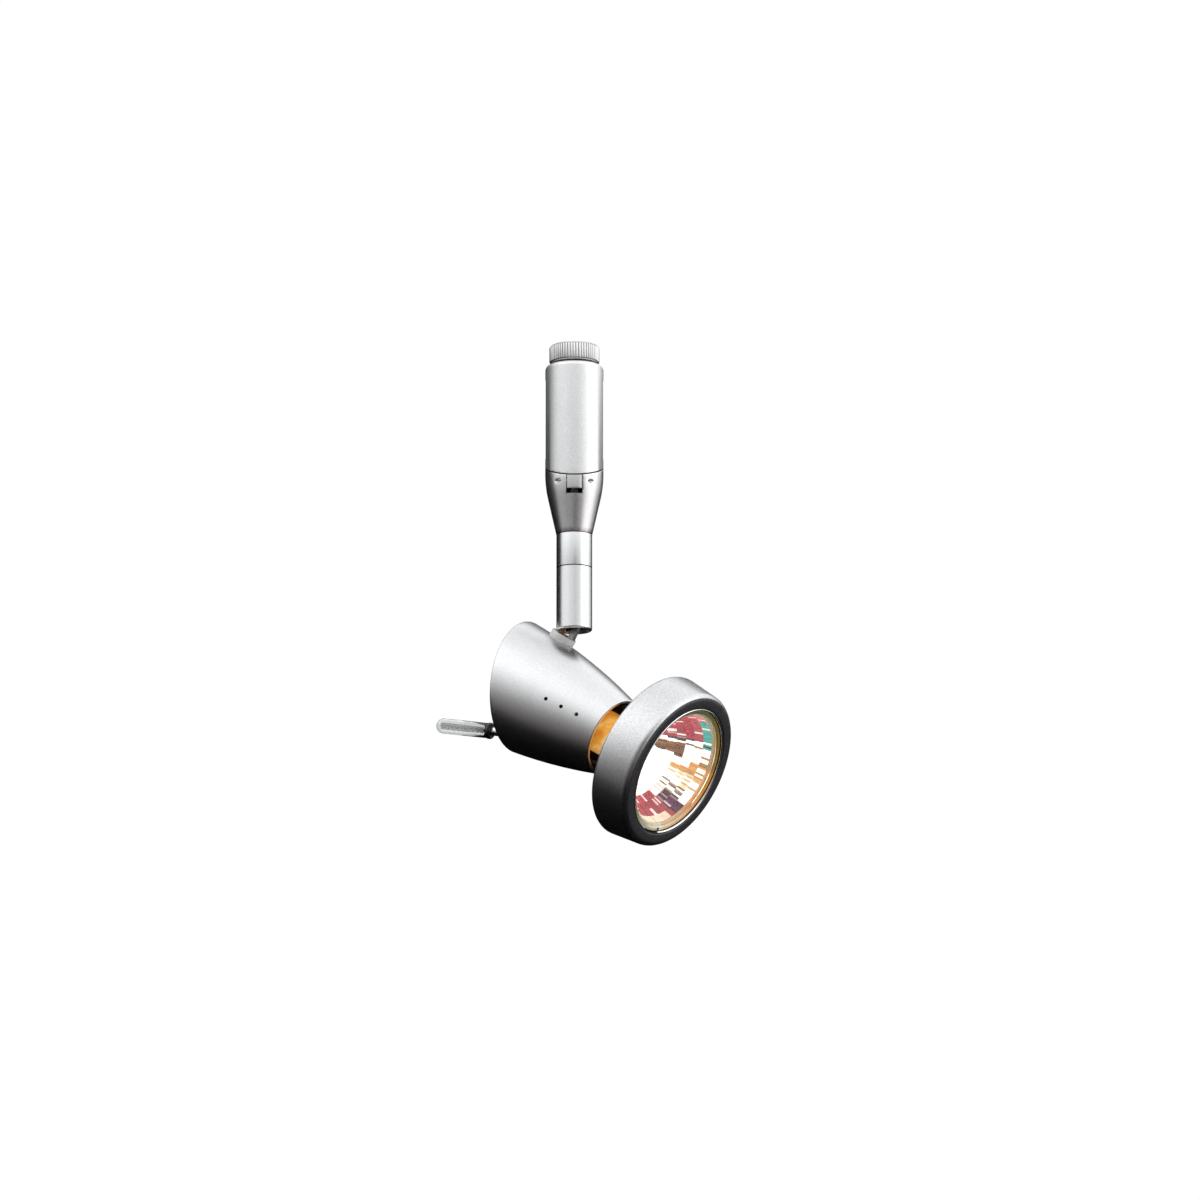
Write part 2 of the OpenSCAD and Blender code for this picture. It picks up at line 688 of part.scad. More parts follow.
module lamp_reflector() color("#c9c2b8") on_axis() turned() difference() {
    polygon(concat([[0, lamp_x], [lamp_rim_r, lamp_x], [lamp_rim_r, lamp_x - 2],
        [bowl_r(2.2), lamp_x - 2.2]], [for (d = bowl_d) [bowl_r(d), lamp_x - d]],
        [[8.8, lamp_x - 29], [8.6, 34], [0, 34]]));
    polygon(concat([[0, lamp_x + 1], [lamp_rim_r - 1.6, lamp_x + 1], [lamp_rim_r - 1.6, lamp_x - 1.4]],
        [for (d = bowl_d) [bowl_r(d) - 1.7, lamp_x - d]], [[6.6, lamp_x - 28.4], [6.6, 36], [0, 36]]));
}

module lamp_front_glass() color("lightcyan", 0.3) on_axis()
    rod_x(lamp_x - 1.3, lamp_x - 0.2, lamp_rim_r - 1.62);

module lamp_burner() color("lightcyan", 0.4) on_axis() translate([36.1, 0, 0]) rotate([0, 90, 0])
    difference() {
        union() {
            cylinder(h = 20, r = 4.6);
            translate([0, 0, 20]) sphere(r = 4.6);
        }
        translate([0, 0, 8]) cylinder(h = 12, r = 3.8);
        translate([0, 0, 20]) sphere(r = 3.8);
    }

module lamp_filament() color("orange") on_axis() {
    rod_x(50, 57, 0.8);
    for (side = [-1, 1])
        translate([0, side * 1.4, 0]) rod_x(44.2, 53, 0.3);
}

module lamp_base() color("ivory") on_axis() difference() {
    rod_x(holder_front + 0.3, 34 - set_fit, 8.6);
    translate([28, -10, -10]) cube([2.5, 20, 2.6]);
}

module lamp_pins() color("silver") on_axis() for (side = [-1, 1])
    translate([0, side * pin_spacing / 2, 0]) {
        rod_x(15.2, holder_front + 0.3 - set_fit, 1.5);
        rod_x(15.2, 17.2, 2.4);
    }

adapter_body();
front_shell();
hinge_pin();
threaded_bush();
rear_liner();
contact_carrier();
contact_upper();
contact_lower();
carrier_screws();
shell_leads();
terminal_block();
terminal_screws();
block_screw();
supply_leads();
clamp_knob();
clamp_spindle();
spindle_clip();
clamp_shoe();
stem_collar();
stem_tube();
stem_nipple();
nipple_nut();
nipple_washer();
tube_nut();
tilt_clevis();
clevis_screw();
tilt_pin();
friction_washers();
stem_leads();
tilt_link();
link_screw();
swivel_collar();
lead_nipple();
nipple_nuts();
lamp_housing();
rear_cover();
cover_screws();
handle_rod();
handle_nut();
handle_ring();
handle_sleeve();
strut_upper();
strut_lower();
strut_screws();
holder_plate();
plate_screws();
lampholder();
holder_screws();
head_leads();
front_ring();
retaining_clip();
lamp_reflector();
lamp_front_glass();
lamp_burner();
lamp_filament();
lamp_base();
lamp_pins();
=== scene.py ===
"""Looks of the track spotlight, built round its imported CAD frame. Lengths are in metres."""

import json
import math
import random

import bmesh
import bpy
from mathutils import Matrix, Vector


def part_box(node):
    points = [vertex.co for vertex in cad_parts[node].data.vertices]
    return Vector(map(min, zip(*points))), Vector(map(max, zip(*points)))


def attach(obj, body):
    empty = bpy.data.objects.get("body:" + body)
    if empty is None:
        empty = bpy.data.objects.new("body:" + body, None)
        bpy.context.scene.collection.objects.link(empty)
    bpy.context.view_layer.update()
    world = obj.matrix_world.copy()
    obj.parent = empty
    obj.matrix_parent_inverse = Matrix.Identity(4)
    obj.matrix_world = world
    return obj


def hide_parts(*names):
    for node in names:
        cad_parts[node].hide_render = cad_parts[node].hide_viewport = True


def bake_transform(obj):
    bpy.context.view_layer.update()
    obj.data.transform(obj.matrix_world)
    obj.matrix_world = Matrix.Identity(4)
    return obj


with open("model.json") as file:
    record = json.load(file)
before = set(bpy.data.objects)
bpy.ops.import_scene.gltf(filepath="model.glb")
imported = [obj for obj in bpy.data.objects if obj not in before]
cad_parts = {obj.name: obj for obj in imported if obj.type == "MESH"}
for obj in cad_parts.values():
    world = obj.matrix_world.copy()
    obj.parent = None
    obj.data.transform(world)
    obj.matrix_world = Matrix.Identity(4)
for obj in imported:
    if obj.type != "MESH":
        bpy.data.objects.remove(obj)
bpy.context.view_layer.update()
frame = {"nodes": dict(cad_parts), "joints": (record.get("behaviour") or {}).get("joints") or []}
nodes = frame["nodes"]
joints = {j["name"]: j for j in frame["joints"]}

MM = 0.001

# ---- Places, from the frame ----

TILT = math.radians(30)
PAN = math.radians(30)
PIVOT = Vector(joints["head_tilt"]["pos_m"])
AXIS_DROP = 33.8 * MM
MOUTH_X = 40.3 * MM
MOUTH_R = 15.44 * MM
SIDE_ARC = 235 * MM
SIDE_SIN = 0.28
WALL = 1.5 * MM
REAR_X = -7.2 * MM
REAR_SLANT = math.radians(19.8)
RING_FRONT = 73.1 * MM
RING_W = 16.3 * MM
RING_R = 33.1 * MM
RING_BORE = 26 * MM
LAMP_X = 72 * MM
LAMP_RIM_R = 25.1 * MM
STEM_R = 6.9 * MM
HANDLE_V = -17.6 * MM
HANDLE_LEAN = math.radians(1.2)
LEAD_R = 0.85 * MM

STEM = Matrix.Rotation(-PAN, 4, "Z")
HEAD = Matrix.Translation(PIVOT) @ STEM @ Matrix.Rotation(TILT, 4, "Y")
AXIS = HEAD @ Matrix.Translation((0, 0, -AXIS_DROP))
REAR = AXIS @ Matrix.Translation((REAR_X, 0, 0)) @ Matrix.Rotation(-REAR_SLANT, 4, "Y")
Z_TO_X = Matrix.Rotation(math.pi / 2, 4, "Y")
Z_TO_BACK = Matrix.Rotation(-math.pi / 2, 4, "Y")


# ---- Camera, floor, backdrop and light ----

def make_camera():
    view_width = 461.5 * MM
    distance = 4.0
    elevation = math.radians(-13)
    target = Vector((9.9 * MM, 0, -55.6 * MM))
    data = bpy.data.cameras.new("camera")
    data.sensor_width = 36
    data.lens = data.sensor_width * distance / view_width
    data.clip_end = 60
    camera = bpy.data.objects.new("camera", data)
    bpy.context.collection.objects.link(camera)
    towards = Vector((0, math.cos(elevation), -math.sin(elevation)))
    camera.location = target - distance * towards
    camera.rotation_euler = towards.to_track_quat("-Z", "Y").to_euler()
    bpy.context.scene.camera = camera


def stage_material(name, colour, glow):
    mat = bpy.data.materials.new(name)
    mat.use_nodes = True
    shader = mat.node_tree.nodes["Principled BSDF"]
    shader.inputs["Base Color"].default_value = (*colour, 1)
    shader.inputs["Roughness"].default_value = 0.8
    shader.inputs["Emission Color"].default_value = (1, 1, 1, 1)
    shader.inputs["Emission Strength"].default_value = glow
    return mat


def make_stage():
    floor_z = -1.05
    floor_size = 20
    backdrop_radius = 14
    bpy.ops.mesh.primitive_plane_add(size=floor_size, location=(0, 0, floor_z))
    floor = bpy.context.object
    floor.name = "floor"
    floor.data.materials.append(stage_material("floor_paint", (0.85, 0.85, 0.84), 0.25))
    bpy.ops.mesh.primitive_uv_sphere_add(radius=backdrop_radius, segments=48, ring_count=24)
    backdrop = bpy.context.object
    backdrop.name = "backdrop"
    backdrop.data.flip_normals()
    backdrop.data.materials.append(stage_material("backdrop_paint", (0, 0, 0), 1.0))
    for piece in (floor, backdrop):
        piece.visible_glossy = False
        piece.visible_diffuse = False
        piece.visible_shadow = False


def direction(azimuth, elevation):
    """Unit vector; azimuth 0 is towards -Y and 90 towards +X."""
    a, e = math.radians(azimuth), math.radians(elevation)
    return Vector((math.sin(a) * math.cos(e), -math.cos(a) * math.cos(e), math.sin(e)))


# Brightness of the studio by height: the sine of the elevation, from straight down to straight up.
DOME = [(-1.0, 0.0), (-0.75, 0.01), (-0.5, 0.13), (-0.15, 0.36),
        (0.1, 0.70), (0.35, 1.2), (0.62, 1.62), (1.0, 1.3)]
# azimuth, elevation, inner and outer half width, what it adds
SOFT_BOXES = [(74, 2, 12, 40, 1.25), (-64, 30, 10, 45, 0.25)]
# azimuth, elevation, inner and outer half width, share it takes away
DARK_CARDS = [(-160, -18, 66, 82, 1.0), (6, -3, 4, 18, 0.8)]


def make_light():
    """A studio that is light above, dark below and behind, with soft boxes and dark cards."""
    world = bpy.data.worlds.new("studio")
    bpy.context.scene.world = world
    world.use_nodes = True
    tree = world.node_tree
    tree.nodes.clear()
    add = tree.nodes.new
    link = tree.links.new
    coord = add("ShaderNodeTexCoord").outputs["Generated"]

    def cone(azimuth, elevation, inner, outer, low, high):
        dot = add("ShaderNodeVectorMath")
        dot.operation = "DOT_PRODUCT"
        dot.inputs[1].default_value = direction(azimuth, elevation)
        link(coord, dot.inputs[0])
        edge = add("ShaderNodeMapRange")
        edge.interpolation_type = "SMOOTHSTEP"
        edge.inputs["From Min"].default_value = math.cos(math.radians(outer))
        edge.inputs["From Max"].default_value = math.cos(math.radians(inner))
        edge.inputs["To Min"].default_value = low
        edge.inputs["To Max"].default_value = high
        link(dot.outputs["Value"], edge.inputs["Value"])
        return edge.outputs["Result"]

    def join(a, b, how):
        node = add("ShaderNodeMath")
        node.operation = how
        link(a, node.inputs[0])
        link(b, node.inputs[1])
        return node.outputs["Value"]

    height = add("ShaderNodeSeparateXYZ")
    link(coord, height.inputs["Vector"])
    place = add("ShaderNodeMapRange")
    place.inputs["From Min"].default_value = -1
    link(height.outputs["Z"], place.inputs["Value"])
    dome = add("ShaderNodeFloatCurve")
    curve = dome.mapping.curves[0]
    for sine, bright in DOME[1:-1]:
        curve.points.new((sine + 1) / 2, bright / 2)
    curve.points[0].location = (0, DOME[0][1] / 2)
    curve.points[-1].location = (1, DOME[-1][1] / 2)
    dome.mapping.update()
    link(place.outputs["Result"], dome.inputs["Value"])
    total = join(dome.outputs["Value"], dome.outputs["Value"], "ADD")
    for box in SOFT_BOXES:
        total = join(total, cone(*box[:4], 0, box[4]), "ADD")
    for card in DARK_CARDS:
        total = join(total, cone(*card[:4], 1, 1 - card[4]), "MULTIPLY")
    background = add("ShaderNodeBackground")
    warmth = add("ShaderNodeValToRGB")
    warmth.color_ramp.elements[0].position = 0.15
    warmth.color_ramp.elements[0].color = (1.0, 0.88, 0.86, 1)
    warmth.color_ramp.elements[1].position = 0.55
    warmth.color_ramp.elements[1].color = (0.985, 1.0, 1.0, 1)
    link(place.outputs["Result"], warmth.inputs["Fac"])
    link(warmth.outputs["Color"], background.inputs["Color"])
    link(total, background.inputs["Strength"])
    output = add("ShaderNodeOutputWorld")
    link(background.outputs["Background"], output.inputs["Surface"])
    bpy.context.scene.view_settings.view_transform = "Standard"


make_camera()
make_stage()
make_light()


# ---- Materials ----

class Finish:
    """A Principled material with a few procedural layers."""

    def __init__(self, name, colour, metallic=0.0, roughness=0.5, **sockets):
        self.mat = bpy.data.materials.new(name)
        self.mat.use_nodes = True
        self.tree = self.mat.node_tree
        self.shader = self.tree.nodes["Principled BSDF"]
        self.colour = colour
        self.set("Base Color", (*colour, 1))
        self.set("Metallic", metallic)
        self.set("Roughness", roughness)
        for key, value in sockets.items():
            self.set(key.replace("_", " "), value)
        self.height = None

    def set(self, socket, value):
        self.shader.inputs[socket].default_value = value

    def add(self, kind):
        return self.tree.nodes.new(kind)

    def link(self, a, b):
        self.tree.links.new(a, b)

    def place(self, stretch=(1, 1, 1)):
        coord = self.add("ShaderNodeTexCoord")
        mapping = self.add("ShaderNodeMapping")
        mapping.inputs["Scale"].default_value = stretch
        self.link(coord.outputs["Object"], mapping.inputs["Vector"])
        return mapping.outputs["Vector"]

    def noise(self, size, detail=2.0, stretch=(1, 1, 1)):
        """Noise whose blobs are about that size, in metres."""
        node = self.add("ShaderNodeTexNoise")
        node.inputs["Scale"].default_value = 1 / size
        node.inputs["Detail"].default_value = detail
        self.link(self.place(stretch), node.inputs["Vector"])
        return node.outputs["Fac"]

    def grains(self, size):
        node = self.add("ShaderNodeTexVoronoi")
        node.inputs["Scale"].default_value = 1 / size
        self.link(self.place(), node.inputs["Vector"])
        grey = self.add("ShaderNodeRGBToBW")
        self.link(node.outputs["Color"], grey.inputs["Color"])
        return grey.outputs["Val"]

    def span(self, value, low, high, start=0.3, end=0.7):
        node = self.add("ShaderNodeMapRange")
        node.inputs["From Min"].default_value = start
        node.inputs["From Max"].default_value = end
        node.inputs["To Min"].default_value = low
        node.inputs["To Max"].default_value = high
        self.link(value, node.inputs["Value"])
        return node.outputs["Result"]

    def ramp(self, value, stops):
        node = self.add("ShaderNodeValToRGB")
        elements = node.color_ramp.elements
        while len(elements) < len(stops):
            elements.new(0.5)
        for element, (place, colour) in zip(elements, stops):
            element.position = place
            element.color = (*colour, 1)
        self.link(value, node.inputs["Fac"])
        return node.outputs["Color"]

    def vary_colour(self, value, low, high, start=0.3, end=0.7):
        """Base colour from low to high times its own, along a value."""
        stops = [(place, [min(c * share, 1) for c in self.colour])
                 for place, share in ((start, low), (end, high))]
        colour = self.ramp(value, stops)
        self.link(colour, self.shader.inputs["Base Color"])
        return self

    def mix_colour(self, amount, colour):
        """Blends another colour over what Base Color has."""
        socket = self.shader.inputs["Base Color"]
        mix = self.add("ShaderNodeMix")
        mix.data_type = "RGBA"
        if socket.is_linked:
            self.link(socket.links[0].from_socket, mix.inputs["A"])
        else:
            mix.inputs["A"].default_value = socket.default_value
        mix.inputs["B"].default_value = (*colour, 1)
        self.link(amount, mix.inputs["Factor"])
        self.link(mix.outputs["Result"], socket)
        return self

    def vary_roughness(self, value, low, high):
        self.link(self.span(value, low, high), self.shader.inputs["Roughness"])
        return self

    def bump(self, value, depth, strength=1.0):
        node = self.add("ShaderNodeBump")
        node.inputs["Distance"].default_value = depth
        node.inputs["Strength"].default_value = strength
        self.link(value, node.inputs["Height"])
        if self.height is not None:
            self.link(self.height, node.inputs["Normal"])
        self.height = node.outputs["Normal"]
        self.link(self.height, self.shader.inputs["Normal"])
        return self


def metallic_paint(name, colour, grain, contrast, rough, depth):
    """Satin lacquer full of aluminium flakes."""
    paint = Finish(name, colour, metallic=1.0, roughness=rough)
    paint.vary_colour(paint.grains(grain), 1 - contrast, 1 + contrast, 0.1, 0.9)
    paint.mix_colour(paint.span(paint.noise(9 * MM, 3), 0, 0.12), [c * 0.8 for c in colour])
    paint.vary_roughness(paint.noise(grain * 2, 2), rough - 0.04, rough + 0.06)
    paint.bump(paint.noise(grain, 2), depth, 0.5)
    return paint


def shade_gaps(paint, gaps):
    """Darkens the paint beside each parting line, where a gap keeps the light out.

    A gap is (normal, distance in mm, half width in mm, limits), with limits as (axis, low, high) in mm.
    """
    coord = paint.add("ShaderNodeTexCoord")
    for normal, distance, half, limits in gaps:
        total = None
        for axis, low, high in [(normal, distance - half, distance + half)] + limits:
            dot = paint.add("ShaderNodeVectorMath")
            dot.operation = "DOT_PRODUCT"
            dot.inputs[1].default_value = axis
            paint.link(coord.outputs["Object"], dot.inputs[0])
            near = paint.add("ShaderNodeMath")
            near.operation = "COMPARE"
            near.inputs[1].default_value = (low + high) / 2 * MM
            near.inputs[2].default_value = (high - low) / 2 * MM
            paint.link(dot.outputs["Value"], near.inputs[0])
            if total is None:
                total = near.outputs["Value"]
                continue
            both = paint.add("ShaderNodeMath")
            both.operation = "MULTIPLY"
            paint.link(total, both.inputs[0])
            paint.link(near.outputs["Value"], both.inputs[1])
            total = both.outputs["Value"]
        paint.mix_colour(total, (0.012, 0.012, 0.013))
    return paint


def turned_metal(name, colour, rough, stretch, streak=0.12):
    """Machined metal with fine streaks; stretch sets the way they run."""
    metal = Finish(name, colour, metallic=1.0, roughness=rough)
    streaks = metal.noise(0.5 * MM, 4, stretch)
    metal.vary_colour(streaks, 1 - streak, 1 + streak)
    metal.vary_roughness(streaks, rough * 0.7, rough * 1.4)
    metal.bump(streaks, 0.01 * MM, 0.4)
    return metal.mat


def plastic(name, colour, rough, grain=0.3 * MM, depth=0.01 * MM):
    part = Finish(name, colour, roughness=rough)
    part.vary_colour(part.noise(3 * MM, 3), 0.9, 1.08)
    part.vary_roughness(part.noise(grain, 2), rough - 0.06, rough + 0.08)
    part.bump(part.noise(grain, 2), depth, 0.5)
    return part.mat


def ceramic(name):
    part = Finish(name, (0.86, 0.83, 0.76), roughness=0.34, Coat_Weight=0.3, Coat_Roughness=0.2)
    part.vary_colour(part.noise(2 * MM, 3), 0.93, 1.05)
    part.mix_colour(part.span(part.grains(0.5 * MM), 0, 0.5, 0.88, 0.95), (0.45, 0.38, 0.3))
    part.bump(part.noise(0.4 * MM, 2), 0.02 * MM, 0.4)
    return part.mat


def braided_sleeve(name):
    """Amber silicone sleeve with a fine braid under its gloss."""
    sleeve = Finish(name, (0.80, 0.42, 0.07), roughness=0.32, Coat_Weight=0.5, Coat_Roughness=0.15)
    wave = sleeve.add("ShaderNodeTexWave")
    wave.inputs["Scale"].default_value = 1 / (0.9 * MM)
    wave.inputs["Distortion"].default_value = 2
    wave.inputs["Detail"].default_value = 2
    wave.wave_type = "BANDS"
    wave.bands_direction = "DIAGONAL"
    sleeve.link(sleeve.place(), wave.inputs["Vector"])
    sleeve.vary_colour(wave.outputs["Fac"], 0.6, 1.2)
    sleeve.bump(wave.outputs["Fac"], 0.05 * MM, 0.6)
    return sleeve.mat


def clear_glass(name, colour, rough):
    glass = Finish(name, colour, roughness=rough, Transmission_Weight=1.0, IOR=1.5)
    glass.vary_roughness(glass.noise(2 * MM, 3), rough, rough + 0.05)
    glass.bump(glass.noise(3 * MM, 2), 0.02 * MM, 0.3)
    return glass.mat


def attribute_glow(name, rough, strength, metallic=0.0, coat=0.6):
    """Takes its colour, and a painted glow, from the mesh's own tint."""
    part = Finish(name, (0.5, 0.5, 0.5), metallic=metallic, roughness=rough,
                  Coat_Weight=coat, Coat_Roughness=0.08)
    tint = part.add("ShaderNodeAttribute")
    tint.attribute_name = "tint"
    speck = part.ramp(part.noise(0.8 * MM, 3), [(0.3, (0.78, 0.78, 0.78)), (0.7, (1, 1, 1))])
    mix = part.add("ShaderNodeMix")
    mix.data_type = "RGBA"
    mix.blend_type = "MULTIPLY"
    mix.inputs["Factor"].default_value = 1.0
    part.link(tint.outputs["Color"], mix.inputs["A"])
    part.link(speck, mix.inputs["B"])
    part.link(mix.outputs["Result"], part.shader.inputs["Base Color"])
    part.link(mix.outputs["Result"], part.shader.inputs["Emission Color"])
    # Painted light: the emission makes the facets and the rim glow; the lamp is not lit.
    part.set("Emission Strength", strength)
    return part.mat


def amber_glass():
    """The lamp's back: a coated mirror that lets warm light through, that light painted on as a glow."""
    part = Finish("lamp_back_glass", (0.62, 0.30, 0.05), roughness=0.18, Coat_Weight=0.8, Coat_Roughness=0.05)
    swirl = part.noise(9 * MM, 3, (1.0, 0.5, 1.6))
    colour = part.ramp(swirl, [
        (0.28, (0.34, 0.09, 0.01)), (0.41, (0.76, 0.28, 0.03)),
        (0.56, (0.92, 0.42, 0.06)), (0.70, (1.0, 0.74, 0.38))])
    part.link(colour, part.shader.inputs["Base Color"])
    # Painted light: the emission stands in for warm light shining through the glass.
    part.link(colour, part.shader.inputs["Emission Color"])
    part.set("Emission Strength", 0.6)
    part.bump(part.noise(5 * MM, 2), 0.25 * MM, 0.5)
    return part.mat


def painted_glow(name, colour, strength):
    part = Finish(name, colour, roughness=0.3)
    shade = part.ramp(part.noise(2 * MM, 2), [(0.3, [c * 0.9 for c in colour]), (0.7, colour)])
    # Painted light: the emission makes the part glow as if the lamp were lit.
    part.link(shade, part.shader.inputs["Emission Color"])
    part.set("Emission Strength", strength)
    return part.mat


SEAM_SLOPE = math.radians(25.2)
SEAM = (0, -math.sin(SEAM_SLOPE), math.cos(SEAM_SLOPE))
ADAPTER_GAPS = [
    (SEAM, -3.2 * math.cos(SEAM_SLOPE), 0.24, [((0, 1, 0), -12, -1.9), ((0, 0, 1), -12, 0)]),
    ((1, 0, 0), -3.0, 0.16, [((0, 1, 0), -12, -8), ((0, 0, 1), -15.8, -8.6)]),
    ((1, 0, 0), 3.0, 0.16, [((0, 1, 0), -12, -8), ((0, 0, 1), -15.8, -8.6)]),
    ((0, 0, 1), -30.1, 0.16, []),
]
STEM_GAPS = [((0, 0, 1), -43.1, 0.2, []), ((0, 0, 1), -30.1, 0.1, [])]

MATERIALS = {
    "silver": metallic_paint("silver_paint", (0.62, 0.622, 0.628), 0.22 * MM, 0.13, 0.32, 0.010 * MM).mat,
    "shell": shade_gaps(
        metallic_paint("adapter_paint", (0.68, 0.68, 0.685), 0.22 * MM, 0.11, 0.31, 0.008 * MM),
        ADAPTER_GAPS).mat,
    "front": shade_gaps(
        metallic_paint("shell_paint", (0.72, 0.72, 0.725), 0.22 * MM, 0.12, 0.48, 0.010 * MM),
        ADAPTER_GAPS).mat,
    "stem": shade_gaps(
        metallic_paint("stem_paint", (0.70, 0.705, 0.71), 0.18 * MM, 0.08, 0.28, 0.006 * MM),
        STEM_GAPS).mat,
    "ring": metallic_paint("ring_paint", (0.58, 0.58, 0.59), 0.30 * MM, 0.18, 0.34, 0.022 * MM).mat,
    # Near-black copy of the ring paint: painted shade on the ring's face and bore.
    "ring_face_shade": metallic_paint("ring_face_painted_shade", (0.10, 0.10, 0.108), 0.45 * MM, 0.30, 0.48, 0.03 * MM).mat,
    "knob": turned_metal("knurled_aluminium", (0.66, 0.65, 0.66), 0.34, (1, 1, 0.08)),
    # Darker copy of the knob's metal: painted shade for its grooves.
    "knob_groove_shade": turned_metal("knurling_groove_painted_shade", (0.30, 0.29, 0.295), 0.4, (1, 1, 0.08)),
    "steel": turned_metal("bright_steel", (0.72, 0.71, 0.69), 0.24, (1, 1, 0.2)),
    "dull_steel": turned_metal("dull_zinc", (0.36, 0.35, 0.345), 0.42, (1, 1, 0.2)),
    "black_sleeve": plastic("black_sleeve", (0.016, 0.016, 0.016), 0.5),
    "wire": turned_metal("spring_wire", (0.88, 0.88, 0.90), 0.12, (0.3, 0.3, 1), 0.05),
    "brass": turned_metal("turned_brass", (0.80, 0.60, 0.28), 0.28, (1, 1, 0.2)),
    "copper": turned_metal("copper_strip", (0.78, 0.42, 0.24), 0.3, (0.2, 1, 1)),
    # Real black parts, and painted shade on the housing's inside.
    "black_metal_and_painted_shade": plastic("black_enamel_and_painted_shade", (0.018, 0.018, 0.019), 0.42, 0.25 * MM),
    "black_plastic": plastic("black_moulding", (0.03, 0.03, 0.031), 0.5),
    "rubber": plastic("black_rubber", (0.012, 0.012, 0.012), 0.3),
    "grey_plastic": plastic("grey_moulding", (0.60, 0.61, 0.61), 0.45),
    "ceramic": ceramic("steatite"),
    "sleeve": braided_sleeve("amber_sleeve"),
    "glass": clear_glass("lamp_glass", (1.0, 1.0, 1.0), 0.01),
    "handle_glass": clear_glass("handle_sleeve_glass", (0.60, 0.615, 0.62), 0.02),
    "lamp_back": amber_glass(),
    # Painted glow on the quartz capsule.
    "burner": painted_glow("quartz_painted_glow", (1.0, 0.93, 0.78), 2.2),
    # These two glow with painted light.
    "facets": attribute_glow("dichroic_facets", 0.3, 0.42, metallic=1.0, coat=0.0),
    "rim": attribute_glow("lamp_rim_glass", 0.15, 0.25),
}

CAD_FINISH = {
    "silver": ["rear_cover"],
    "shell": ["adapter_body"],
    "front": ["front_shell"],
    "stem": ["stem_tube"],
    "dull_steel": ["tilt_link"],
    "knob": ["clamp_knob"],
    "steel": ["hinge_pin", "carrier_screws", "block_screw", "clamp_spindle", "stem_nipple", "tilt_pin",
              "lead_nipple", "cover_screws", "handle_rod", "strut_screws", "plate_screws",
              "holder_screws", "lamp_pins"],
    "wire": ["retaining_clip"],
    "brass": ["threaded_bush", "terminal_screws", "nipple_nut", "nipple_washer", "tube_nut",
              "nipple_nuts", "handle_nut"],
    "copper": ["contact_upper", "contact_lower"],
    "black_metal_and_painted_shade": ["spindle_clip", "tilt_clevis", "clevis_screw", "link_screw", "strut_upper",
                    "strut_lower", "holder_plate"],
    "black_plastic": ["rear_liner", "contact_carrier", "clamp_shoe", "friction_washers"],
    "black_sleeve": ["shell_leads", "supply_leads"],
    "rubber": ["handle_ring"],
    "grey_plastic": ["swivel_collar"],
    "ceramic": ["terminal_block", "lampholder", "lamp_base"],
}


# ---- CAD nodes that keep their shape ----

def soften(node, width):
    """Breaks the sharp edges of a CAD node with a small bevel."""
    obj = nodes[node]
    weld = obj.modifiers.new("weld", "WELD")
    weld.merge_threshold = 0.002 * MM
    bevel = obj.modifiers.new("bevel", "BEVEL")
    bevel.width = width
    bevel.segments = 2
    bevel.limit_method = "ANGLE"
    bevel.angle_limit = math.radians(32)
    bevel.harden_normals = True


def finish_cad_nodes():
    for key, names in CAD_FINISH.items():
        for name in names:
            obj = nodes[name]
            obj.data.materials.clear()
            obj.data.materials.append(MATERIALS[key])


finish_cad_nodes()


# ---- Mesh tools ----

def make_object(name, verts, faces, material, place=Matrix.Identity(4), sharp=35):
    mesh = bpy.data.meshes.new(name)
    mesh.from_pydata([place @ Vector(v) for v in verts], [], faces)
    mesh.validate()
    mesh.polygons.foreach_set("use_smooth", [True] * len(mesh.polygons))
    mesh.set_sharp_from_angle(angle=math.radians(sharp))
    mesh.materials.append(MATERIALS[material])
    obj = bpy.data.objects.new(name, mesh)
    bpy.context.collection.objects.link(obj)
    return obj


def settle(obj, body, material, *replaced):
    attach(obj, body)
    if replaced:
        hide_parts(*replaced)
    return obj


def outward(obj):
    """Turns every face of a closed mesh outward."""
    work = bmesh.new()
    work.from_mesh(obj.data)
    bmesh.ops.recalc_face_normals(work, faces=work.faces)
    work.to_mesh(obj.data)
    work.free()
    return obj


def rounded(points, steps=6):
    """Closed outline from (x, y, radius) corners, each rounded by its radius."""
    outline = []
    count = len(points)
    for i, (x, y, radius) in enumerate(points):
        corner = Vector((x, y))
        if radius == 0:
            outline.append((x, y))
            continue
        before = (Vector(points[i - 1][:2]) - corner).normalized()
        after = (Vector(points[(i + 1) % count][:2]) - corner).normalized()
        half = math.acos(max(-1, min(1, before.dot(after)))) / 2
        if half < 1e-3 or half > math.pi / 2 - 1e-3:
            outline.append((x, y))
            continue
        reach = radius / math.tan(half)
        centre = corner + (before + after).normalized() * radius / math.sin(half)
        start = corner + before * reach - centre
        end = corner + after * reach - centre
        turn = math.pi - 2 * half
        side = 1 if start.x * end.y - start.y * end.x > 0 else -1
        for k in range(steps + 1):
            a = side * turn * k / steps
            outline.append((centre.x + start.x * math.cos(a) - start.y * math.sin(a),
                            centre.y + start.x * math.sin(a) + start.y * math.cos(a)))
    return outline


def lathe(name, outline, material, place, segments=160, sharp=35):
    """A closed outline of (radius, height) turned about Z."""
    verts, faces = [], []
    count = len(outline)
    rings = []
    for r, z in outline:
        if r < 1e-7:
            rings.append([len(verts)] * segments)
            verts.append((0, 0, z))
            continue
        rings.append([len(verts) + k for k in range(segments)])
        for k in range(segments):
            a = 2 * math.pi * k / segments
            verts.append((r * math.cos(a), r * math.sin(a), z))
    for i in range(count):
        low, high = rings[i], rings[(i + 1) % count]
        for k in range(segments):
            n = (k + 1) % segments
            face = list(dict.fromkeys([low[k], low[n], high[n], high[k]]))
            if len(face) > 2:
                faces.append(face)
    return outward(make_object(name, verts, faces, material, place, sharp))


